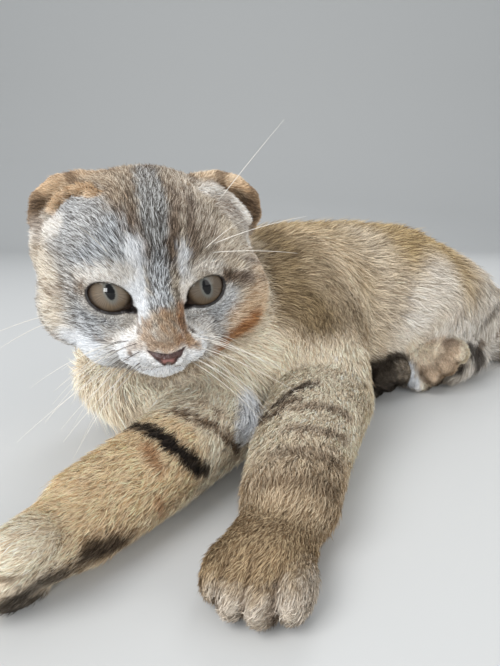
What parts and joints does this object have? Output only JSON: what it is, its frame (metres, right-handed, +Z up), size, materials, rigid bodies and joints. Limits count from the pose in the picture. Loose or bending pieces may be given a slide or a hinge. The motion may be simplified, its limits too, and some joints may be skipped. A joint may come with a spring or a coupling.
{
  "type": "scottish fold kitten model",
  "caption": "Life-size still model of a fold-eared tabby kitten lying down with both forelegs stretched out in front.",
  "frame": {"origin": "centre of the bounding box in plan, on the floor the kitten lies on", "axes": "+Z up from the floor; the tail end lies towards +X and +Y, the head towards -X, and the face and forelegs point towards -Y"},
  "size_m": [0.3221, 0.2919, 0.1148],
  "materials": {
    "coat": "short dense ticked golden-brown fur with dark tabby stripes",
    "ear_coat": "very short golden-tan fur",
    "paw_coat": "short cream-beige fur",
    "dark_paw_coat": "short black-brown fur",
    "eye": "wet clear surface over a hazel iris",
    "nose_leather": "fine-grained, slightly moist"
  },
  "bodies": {
    "root": {"ear_left": "ear_coat", "ear_right": "ear_coat", "eye_left": "eye", "eye_right": "eye", "foreleg_left": "coat", "foreleg_right": "coat", "forepaw_left": "paw_coat", "forepaw_right": "paw_coat", "head": "coat", "hindleg_left": "coat", "hindleg_right": "coat", "hindpaw_left": "paw_coat", "hindpaw_right": "dark_paw_coat", "neck": "coat", "nose": "nose_leather", "tail_base": "coat", "tail_middle": "coat", "tail_tip": "coat", "torso": "coat"}
  },
  "joints": []
}
